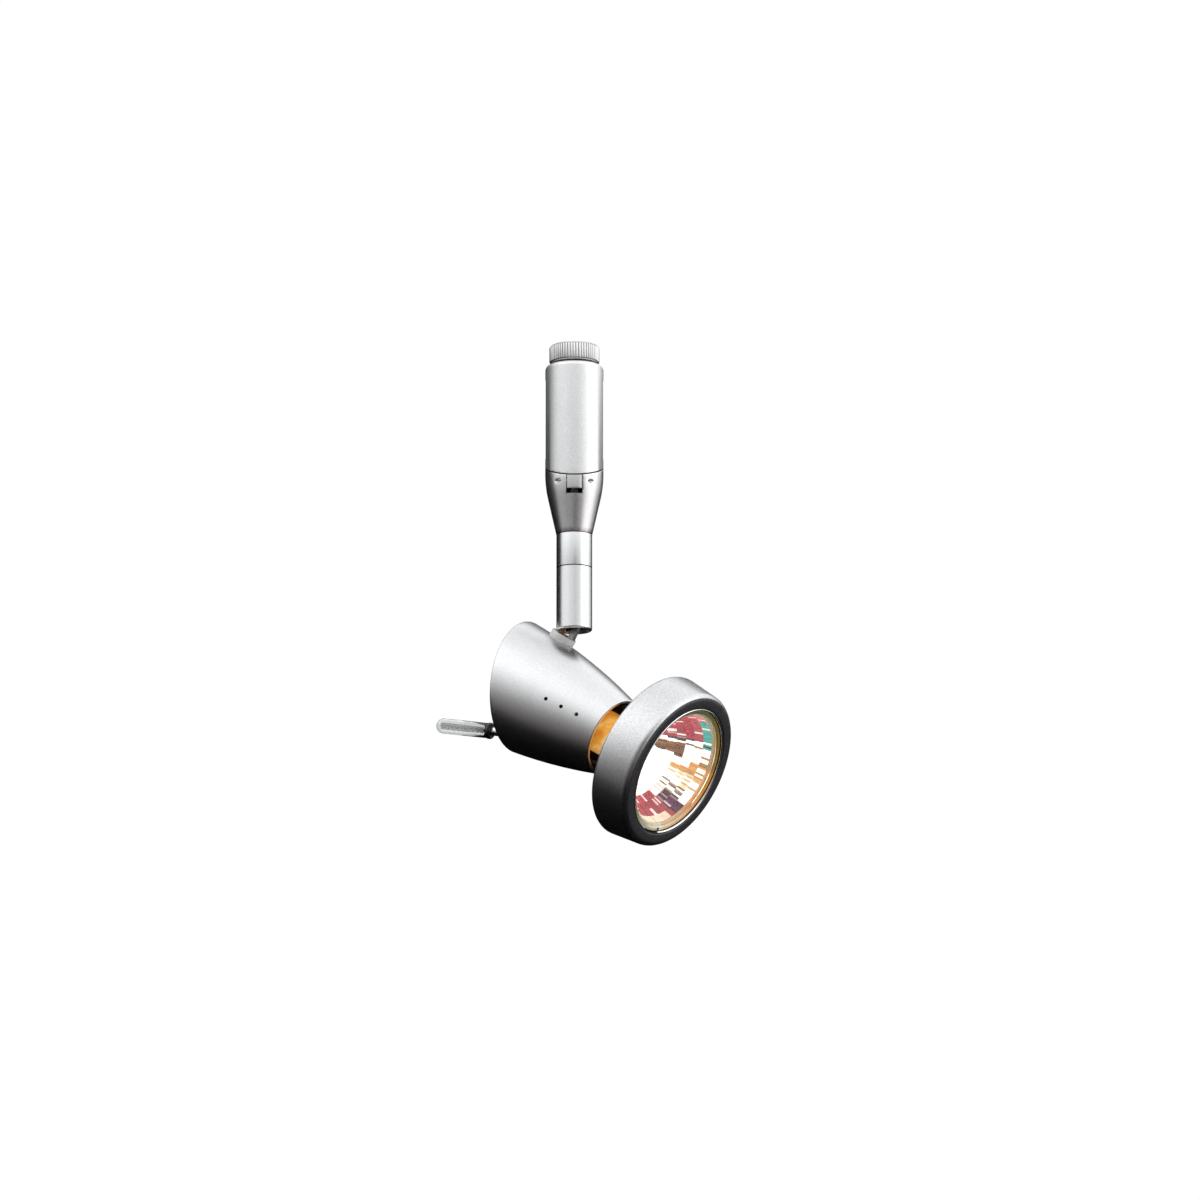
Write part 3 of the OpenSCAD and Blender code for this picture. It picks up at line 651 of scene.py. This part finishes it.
def tube(name, points, radius, material, sides=20, steps=10):
    """A round tube along a smooth curve through points."""
    path = []
    ends = [points[0] * 2 - points[1]] + points + [points[-1] * 2 - points[-2]]
    for i in range(1, len(ends) - 2):
        a, b, c, d = ends[i - 1:i + 3]
        for k in range(steps):
            t = k / steps
            path.append(0.5 * (2 * b + (c - a) * t + (2 * a - 5 * b + 4 * c - d) * t * t
                               + (3 * b - a - 3 * c + d) * t ** 3))
    path.append(points[-1])
    verts, faces = [], []
    side = None
    for i, point in enumerate(path):
        along = (path[min(i + 1, len(path) - 1)] - path[max(i - 1, 0)]).normalized()
        side = along.orthogonal() if side is None else side - along * side.dot(along)
        side.normalize()
        other = along.cross(side)
        for k in range(sides):
            a = 2 * math.pi * k / sides
            verts.append(point + radius * (math.cos(a) * side + math.sin(a) * other))
    for i in range(len(path) - 1):
        for k in range(sides):
            n = (k + 1) % sides
            faces.append((sides * i + k, sides * i + n, sides * (i + 1) + n, sides * (i + 1) + k))
    faces.append(tuple(reversed(range(sides))))
    last = sides * (len(path) - 1)
    faces.append(tuple(last + k for k in range(sides)))
    return outward(make_object(name, verts, faces, material))


def cut(obj, cutters):
    """Takes cutter meshes out of a mesh, for good."""
    for cutter in cutters:
        step = obj.modifiers.new("cut", "BOOLEAN")
        step.operation = "DIFFERENCE"
        step.solver = "EXACT"
        step.object = cutter
    result = bpy.data.meshes.new_from_object(obj.evaluated_get(bpy.context.evaluated_depsgraph_get()))
    obj.modifiers.clear()
    obj.data = result
    for cutter in cutters:
        bpy.data.objects.remove(cutter)
    obj.data.set_sharp_from_angle(angle=math.radians(35))
    return obj


# ---- Clamp knob ----

def make_knob():
    """Turned knob with a ring of fine straight ribs."""
    ribs = 56
    samples = 10
    height = 7.1 * MM
    outer = 9.7 * MM
    depth = 0.42 * MM
    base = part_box("clamp_knob")[0].z
    # (radius, height, share of the rib depth)
    rows = [(2.6 * MM, 0, 0), (outer - 0.75 * MM, 0, 0), (outer - 0.5 * MM, 0.12 * MM, 0),
            (outer - 0.32 * MM, 0.4 * MM, 0.2), (outer - 0.08 * MM, 0.62 * MM, 0.7),
            (outer, 0.85 * MM, 1), (outer, height - 0.95 * MM, 1),
            (outer - 0.1 * MM, height - 0.7 * MM, 0.7), (outer - 0.34 * MM, height - 0.45 * MM, 0.2),
            (outer - 0.6 * MM, height - 0.2 * MM, 0), (outer - 1.0 * MM, height - 0.03 * MM, 0),
            (outer - 1.4 * MM, height, 0), (6.6 * MM, height, 0), (6.4 * MM, height - 0.12 * MM, 0),
            (6.1 * MM, height - 0.12 * MM, 0), (5.9 * MM, height, 0)]
    count = ribs * samples
    verts, faces = [], []
    for radius, z, share in rows:
        for k in range(count):
            a = 2 * math.pi * k / count
            r = radius - depth * share * (1 - abs(math.cos(ribs * a / 2)) ** 0.6)
            verts.append((r * math.cos(a), r * math.sin(a), z + base))
    for i in range(len(rows) - 1):
        for k in range(count):
            n = (k + 1) % count
            faces.append((count * i + k, count * i + n, count * (i + 1) + n, count * (i + 1) + k))
    faces.append(tuple(count * (len(rows) - 1) + k for k in range(count)))
    knob = outward(make_object("knurled_knob", verts, faces, "knob", sharp=40))
    # Painted shade: the faces down in the grooves between the ribs take a darker copy of the knob's metal.
    knob.data.materials.append(MATERIALS["knob_groove_shade"])
    for face in knob.data.polygons:
        r = math.hypot(face.center.x, face.center.y)
        in_band = base + 0.5 * MM < face.center.z < base + height - 0.5 * MM
        face.material_index = 1 if in_band and outer - 1.2 * depth < r < outer - 0.45 * depth else 0
    settle(knob, "knob", "knob", "clamp_knob")


# ---- Stem ----

def make_stem_collar():
    """Fixed upper sleeve with softly broken edges."""
    low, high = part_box("stem_collar")
    top = -30.1 * MM
    outline = rounded([(4.05 * MM, low.z, 0), (STEM_R, low.z, 0.12 * MM), (STEM_R, top, 0.12 * MM),
                       (5.48 * MM, top, 0), (5.48 * MM, high.z, 0.2 * MM), (4.05 * MM, high.z, 0.2 * MM)])
    collar = lathe("stem_sleeve", outline, "stem", Matrix.Identity(4))
    settle(collar, "adapter", "stem", "stem_collar")


# ---- Lamp housing ----

def side_radius(x, inset=0.0):
    """Radius of the housing's side at a place on the lamp axis."""
    arc_r0 = MOUTH_R - SIDE_ARC * math.sqrt(1 - SIDE_SIN ** 2)
    arc_x0 = MOUTH_X - SIDE_ARC * SIDE_SIN
    return arc_r0 + math.sqrt((SIDE_ARC - inset) ** 2 - (x - arc_x0) ** 2)


def rim_x(angle, radius):
    """Where the slanted rear plane cuts the side, going round."""
    return REAR_X - math.tan(REAR_SLANT) * radius * math.cos(angle)


def make_housing():
    """Conical shell: mouth at the front, rim cut on a slant at the rear."""
    around = 192
    along = 40
    lip = 0.55 * MM
    verts, faces = [], []
    for k in range(around):
        a = 2 * math.pi * k / around
        ring = []
        rear_out = REAR_X
        for _ in range(8):
            rear_out = rim_x(a, side_radius(rear_out))
        for i in range(along + 1):
            x = MOUTH_X - lip - (MOUTH_X - lip - rear_out - lip) * i / along
            ring.append((x, side_radius(x)))
        for j in range(1, 8):
            t = math.pi * j / 8
            x = rear_out + lip * (1 - math.sin(t))
            mid = side_radius(rear_out + lip) - WALL / 2
            ring.append((x, mid + WALL / 2 * math.cos(t)))
        for i in range(along + 1):
            x = rear_out + lip + (MOUTH_X - lip - rear_out - lip) * i / along
            ring.append((x, side_radius(x, WALL)))
        for j in range(1, 8):
            t = math.pi * j / 8
            mid = side_radius(MOUTH_X - lip) - WALL / 2
            ring.append((MOUTH_X - lip * (1 - math.sin(t)), mid - WALL / 2 * math.cos(t)))
        for x, r in ring:
            verts.append((x, r * math.sin(a), r * math.cos(a)))
    size = len(verts) // around
    for k in range(around):
        for i in range(size):
            n, m = (k + 1) % around, (i + 1) % size
            faces.append((size * k + i, size * k + m, size * n + m, size * n + i))
    housing = outward(make_object("housing_shell", verts, faces, "silver", AXIS))
    cutters = []
    for x in (17.6, 24.4, 31.2):
        for side in (-1, 1):
            place = AXIS @ Matrix.Translation((x * MM, side * 22 * MM, 2.3 * MM)) \
                @ Matrix.Rotation(math.pi / 2, 4, "X")
            vent = [(0, -9 * MM), (0.75 * MM, -9 * MM), (0.75 * MM, 9 * MM), (0, 9 * MM)]
            cutters.append(lathe("vent", vent, "silver", place, 40))
    entry = HEAD @ Matrix.Translation((-2.2 * MM, 0, -11 * MM))
    cutters.append(lathe("entry", [(0, -4 * MM), (2.85 * MM, -4 * MM), (2.85 * MM, 4 * MM), (0, 4 * MM)],
                         "silver", entry, 48))
    cut(housing, cutters)
    # Painted shade: the inside of the housing, seen through the vents, takes the black enamel, though the
    # real inside is the housing's silver paint.
    housing.data.materials.append(MATERIALS["black_metal_and_painted_shade"])
    inverse = AXIS.inverted()
    for face in housing.data.polygons:
        spot = inverse @ face.center
        r = math.hypot(spot.y, spot.z)
        inside = spot.x < 34 * MM and r < side_radius(spot.x) - 0.7 * MM
        face.material_index = 1 if inside and spot.x > REAR_X + 12 * MM else 0
    settle(housing, "head", "silver", "lamp_housing")


# ---- Handle ----

def make_handle():
    """Clear sleeve with a domed tip, and the black ring before it."""
    root = REAR @ Matrix.Translation((0, 0, HANDLE_V)) @ Matrix.Rotation(HANDLE_LEAN, 4, "Y") @ Z_TO_BACK
    start = 12.52 * MM
    length = 23 * MM
    radius = 2.95 * MM
    bore = 1.43 * MM
    core = 32.5 * MM
    tip = [(radius * math.sin(t), start + length - radius + radius * math.cos(t))
           for t in [math.pi / 2 * k / 12 for k in range(12, -1, -1)]]
    outline = [(bore, start), (radius - 0.3 * MM, start), (radius - 0.08 * MM, start + 0.08 * MM),
               (radius, start + 0.3 * MM)] + tip
    outline += [(bore * math.sin(t), core + bore * math.cos(t))
                for t in [math.pi / 2 * k / 8 for k in range(9)]]
    sleeve = lathe("handle_glass", outline, "handle_glass", root, 96)
    settle(sleeve, "head", "handle_glass", "handle_sleeve")
    ring = rounded([(1.78 * MM, 10.5 * MM, 0.1 * MM), (3.2 * MM, 10.5 * MM, 0.8 * MM),
                    (3.2 * MM, 12.5 * MM, 0.8 * MM), (1.78 * MM, 12.5 * MM, 0.1 * MM)], 8)
    grip = lathe("handle_stop", ring, "rubber", root, 96)
    settle(grip, "head", "rubber", "handle_ring")


# ---- Front ring ----

def make_ring():
    """Wide cast ring: satin band outside, flat face, shelf inside; the face and the bore carry painted shade.
    """
    rear = RING_FRONT - RING_W
    front_r = RING_R - 1.7 * MM
    outline = rounded([
        (27.5 * MM, rear, 0.4 * MM), (RING_R, rear, 1.5 * MM), (front_r, RING_FRONT, 2.7 * MM),
        (RING_BORE, RING_FRONT, 0.35 * MM), (RING_BORE, 69.7 * MM, 0.1 * MM),
        (24.5 * MM, 69.7 * MM, 0.2 * MM), (24.5 * MM, 67.5 * MM, 0.2 * MM),
        (27.5 * MM, 67.5 * MM, 0.3 * MM)], 8)
    ring = lathe("ring_body", outline, "ring", AXIS @ Z_TO_X, 224)
    # Painted shade: the flat face and the bore take a near-black copy of the band's paint, for the shade they
    # face into.
    ring.data.materials.append(MATERIALS["ring_face_shade"])
    forward = (AXIS.to_3x3() @ Vector((1, 0, 0))).normalized()
    origin = AXIS.translation
    for face in ring.data.polygons:
        x = (face.center - origin).dot(forward)
        off = ((face.center - origin) - forward * x).length
        on_face = x > RING_FRONT - 0.5 * MM and off < front_r - 0.9 * MM
        face.material_index = 1 if on_face or off < 27.6 * MM else 0
    settle(ring, "head", "ring", "front_ring")


# ---- Lamp ----

def bowl_radius(d):
    """Outer radius of the reflector a distance behind its rim."""
    return 24.6 * MM * math.sqrt(1 - (d / (32 * MM)) ** 1.2)


def paint_tint(obj, colours):
    """Stores one colour per face in the attribute that the material reads."""
    layer = obj.data.color_attributes.new("tint", "FLOAT_COLOR", "CORNER")
    for face, colour in zip(obj.data.polygons, colours):
        for corner in face.loop_indices:
            layer.data[corner].color = (*colour, 1)


def mix(a, b, t):
    t = max(0.0, min(1.0, t))
    return tuple(p + (q - p) * t for p, q in zip(a, b))


# Coating hues, with painted highlights (white and cream, brighter than white) and painted dark reflections.
CRIMSON = (0.36, 0.012, 0.036)
PINK = (0.70, 0.18, 0.20)
TEAL = (0.03, 0.46, 0.42)
PURPLE = (0.16, 0.015, 0.11)
PAINTED_DARK_REFLECTION = (0.035, 0.012, 0.008)
PAINTED_HIGHLIGHT = (1.75, 1.68, 1.56)
CREAM = (1.05, 0.92, 0.66)
GOLD = (0.62, 0.38, 0.13)
ORANGE = (0.75, 0.30, 0.05)


def facet_colour(angle, depth, rng):
    """Colour of one facet: angle 0 is up and 90 the far side, depth in mm behind the rim. Partly the
    coating's own hues, partly painted highlights and painted dark reflections, laid out by place round the
    bowl.
    """
    dice = rng.random()
    if 142 < angle < 190 and depth < 5:
        base = mix(CREAM, PAINTED_HIGHLIGHT, 0.25 * dice)
    elif angle > 186 and angle < 330:
        base = mix(CRIMSON, CREAM, dice) if angle < 255 else mix(PAINTED_HIGHLIGHT, GOLD, dice)
    elif depth > 16.5 and 76 < angle:
        base = PAINTED_HIGHLIGHT
    elif angle >= 330 or angle < 52:
        base = mix(PINK, CRIMSON, (depth - 3) / 6)
        if 20 < angle < 52 and depth < 5.8:
            base = TEAL
        if 40 < angle and dice > 0.72:
            base = mix(PAINTED_DARK_REFLECTION, PAINTED_HIGHLIGHT, rng.random())
        elif dice > 0.93:
            base = mix(PAINTED_HIGHLIGHT, PINK, 0.5)
    elif angle < 60:
        base = TEAL if depth < 5.5 and dice > 0.5 else (PAINTED_DARK_REFLECTION if dice < 0.42 else PAINTED_HIGHLIGHT)
    elif angle < 79:
        if depth > 11.5:
            base = mix(PAINTED_DARK_REFLECTION, ORANGE, 0.35 * dice)
        else:
            base = PAINTED_HIGHLIGHT if dice > 0.08 else mix(PAINTED_DARK_REFLECTION, GOLD, 0.5)
        if depth < 5.8 and angle > 70 and dice < 0.5:
            base = mix(PAINTED_DARK_REFLECTION, GOLD, 0.6)
    elif angle < 92:
        base = PAINTED_HIGHLIGHT if dice > 0.5 else mix(ORANGE, GOLD, rng.random())
    elif angle < 108:
        base = PAINTED_HIGHLIGHT if dice > 0.42 else mix(CREAM, GOLD, rng.random())
    elif angle < 119:
        base = PAINTED_HIGHLIGHT if dice > 0.45 else mix(PAINTED_DARK_REFLECTION, CREAM, 0.4 * rng.random())
    elif angle < 136:
        if depth < 12 and dice < 0.85:
            base = mix(PAINTED_DARK_REFLECTION, PURPLE, dice * 1.4)
        else:
            base = mix(PURPLE, PAINTED_HIGHLIGHT, rng.random())
    else:
        base = mix(CRIMSON, PINK, 0.35 * rng.random()) if dice < 0.9 else mix(PINK, PAINTED_HIGHLIGHT, 0.6)
    shade = 0.78 + 0.44 * rng.random()
    return tuple(c * shade for c in base)


def make_reflector():
    """Bowl of pressed glass: square facets inside, smooth amber outside."""
    rng = random.Random(7)
    rows = 8
    around = 168
    inset = 1.7 * MM
    near, far = 2.6 * MM, 28.4 * MM
    verts, faces, colours = [], [], []
    for i in range(rows):
        for k in range(around):
            d0 = near + (far - near) * i / rows
            d1 = near + (far - near) * (i + 1) / rows
            a0 = 360 / around * (k + 0.5 * (i % 2))
            a1 = a0 + 360 / around
            corners = []
            for d, a in ((d0, a0), (d0, a1), (d1, a1), (d1, a0)):
                r = bowl_radius(d) - inset
                turn = math.radians(a)
                corners.append(Vector((LAMP_X - d, r * math.sin(turn), r * math.cos(turn))))
            middle = sum(corners, Vector()) / 4
            turn = math.radians((a0 + a1) / 2)
            inward = Vector((0.35, -math.sin(turn), -math.cos(turn)))
            dome = middle + inward.normalized() * 0.11 * MM
            base = len(verts)
            verts += [tuple(c) for c in corners] + [tuple(dome)]
            colour = facet_colour(((a0 + a1) / 2) % 360, (d0 + d1) / 2 / MM, rng)
            for n in range(4):
                faces.append((base + n, base + (n + 1) % 4, base + 4))
                colours.append(tuple(c * (0.85 + 0.3 * rng.random()) for c in colour))
    facets = make_object("reflector_facets", verts, faces, "facets", AXIS, sharp=1)
    for face in facets.data.polygons:
        face.use_smooth = False
    paint_tint(facets, colours)
    settle(facets, "head", "facets")

    outer = [(bowl_radius(d * MM), LAMP_X - d * MM) for d in [2.8 + 24.6 * k / 28 for k in range(29)]]
    neck = [(9.6 * MM, 44.0 * MM), (8.9 * MM, 42.6 * MM), (8.7 * MM, 41 * MM), (8.6 * MM, 34 * MM)]
    inner = [(6.0 * MM, 34 * MM), (6.0 * MM, 42.2 * MM)]
    inner += [(bowl_radius(d * MM) - inset + 0.2 * MM, LAMP_X - d * MM)
              for d in [27.4 - 24.6 * k / 28 for k in range(29)]]
    shell = lathe("reflector_back", outer + neck + inner, "lamp_back", AXIS @ Z_TO_X, 160)
    settle(shell, "head", "lamp_back", "lamp_reflector")

    rim = rounded([(22.4 * MM, LAMP_X - 2.75 * MM, 0.1 * MM), (24.3 * MM, LAMP_X - 2.75 * MM, 0.2 * MM),
                   (LAMP_RIM_R, LAMP_X - 2.0 * MM, 0.3 * MM), (LAMP_RIM_R, LAMP_X, 0.5 * MM),
                   (23.7 * MM, LAMP_X, 0.4 * MM), (23.35 * MM, LAMP_X - 0.9 * MM, 0.2 * MM),
                   (23.35 * MM, LAMP_X - 1.7 * MM, 0.1 * MM), (22.4 * MM, LAMP_X - 1.9 * MM, 0.1 * MM)], 5)
    band = lathe("lamp_rim", rim, "rim", AXIS @ Z_TO_X, 160)
    inverse = AXIS.inverted()
    # The rim's colour runs olive, amber and cream by the angle round it; its material adds a painted glow.
    olive, amber, cream = (0.16, 0.17, 0.05), (0.72, 0.33, 0.06), (0.75, 0.70, 0.50)
    shades = []
    for face in band.data.polygons:
        spot = inverse @ face.center
        a = math.degrees(math.atan2(spot.y, spot.z)) % 360
        if a < 80:
            shades.append(mix(olive, amber, a / 160))
        elif a < 160:
            shades.append(mix(amber, cream, (a - 110) / 80))
        elif a < 230:
            shades.append(mix(cream, olive, (a - 170) / 50))
        else:
            shades.append(olive)
    paint_tint(band, shades)
    settle(band, "head", "rim")


def make_lamp_front():
    """Thin front glass, very slightly domed."""
    radius = 23.3 * MM
    front, back = LAMP_X - 0.35 * MM, LAMP_X - 1.25 * MM
    rows = [radius * k / 10 for k in range(11)]
    dome = [(r, front - 0.25 * MM * (r / radius) ** 2) for r in rows]
    under = [(r, back - 0.25 * MM * (r / radius) ** 2) for r in reversed(rows)]
    glass = lathe("front_glass", dome + under, "glass", AXIS @ Z_TO_X, 128)
    settle(glass, "head", "glass", "lamp_front_glass")


def make_burner():
    """Quartz capsule with its pinched tail, in place of the CAD burner and its coil."""
    radius = 4.6 * MM
    tip = [(radius * math.sin(t), 56.1 * MM + radius * math.cos(t))
           for t in [math.pi / 2 * k / 12 for k in range(13)]]
    body = tip + [(radius, 46 * MM), (3.9 * MM, 44.6 * MM), (3.4 * MM, 43 * MM),
                  (3.4 * MM, 36.2 * MM), (0, 36.2 * MM)]
    capsule = lathe("quartz_capsule", body, "burner", AXIS @ Z_TO_X, 64)
    settle(capsule, "head", "burner", "lamp_burner", "lamp_filament")


# ---- Leads ----

def make_leads():
    """Two sleeved leads down the stem, across the tilt joint and into the head."""
    for side, name in ((-1, "left"), (1, "right")):
        y = side * 0.95 * MM
        stem = [Vector((x * MM, side * (1.1 if z > -51 else 0.95) * MM, z * MM)) for x, z in (
            (0, -21.4), (0, -30), (0, -42), (0, -50.5), (-1.2, -51.6), (-3, -52.8), (-4, -54.4),
            (-4.05, -57), (-4.05, -60), (-4.05, -62.4))]
        piece = tube("stem_lead_" + name, [STEM @ p for p in stem], LEAD_R, "sleeve")
        settle(piece, "stem", "sleeve", *(["stem_leads"] if side < 0 else []))
        head = [Vector((x * MM, y, z * MM)) for x, z in (
            (-2.2, -8.8), (-2.2, -14), (-2.2, -20), (-2.2, -25), (-3.2, -28.5), (-3, -31.5),
            (-1, -33.4), (1.5, -33.8), (6.5, -33.8))]
        piece = tube("head_lead_" + name, [HEAD @ p for p in head], LEAD_R, "sleeve")
        settle(piece, "head", "sleeve", *(["head_leads"] if side < 0 else []))
        top = STEM @ Vector((-4.05 * MM, y, -62.3 * MM))
        low = HEAD @ Vector((-2.2 * MM, y, -8.9 * MM))
        drop = STEM @ Vector((-4.3 * MM, y, -64.6 * MM))
        rise = HEAD @ Vector((-2.3 * MM, y, -6.6 * MM))
        loop = tube("tilt_lead_" + name, [top, drop, rise, low], LEAD_R * 0.98, "sleeve")
        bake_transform(loop)


make_knob()
make_stem_collar()
make_housing()
make_handle()
make_ring()
make_reflector()
make_lamp_front()
make_burner()
make_leads()
for name, width in (("adapter_body", 0.18), ("front_shell", 0.18), ("tilt_link", 0.2),
                    ("swivel_collar", 0.3), ("rear_cover", 0.2), ("strut_upper", 0.2), ("strut_lower", 0.2),
                    ("clamp_shoe", 0.3), ("contact_carrier", 0.2), ("cover_screws", 0.2),
                    ("carrier_screws", 0.15), ("handle_rod", 0.2), ("lampholder", 0.4), ("lamp_base", 0.3)):
    soften(name, width * MM)
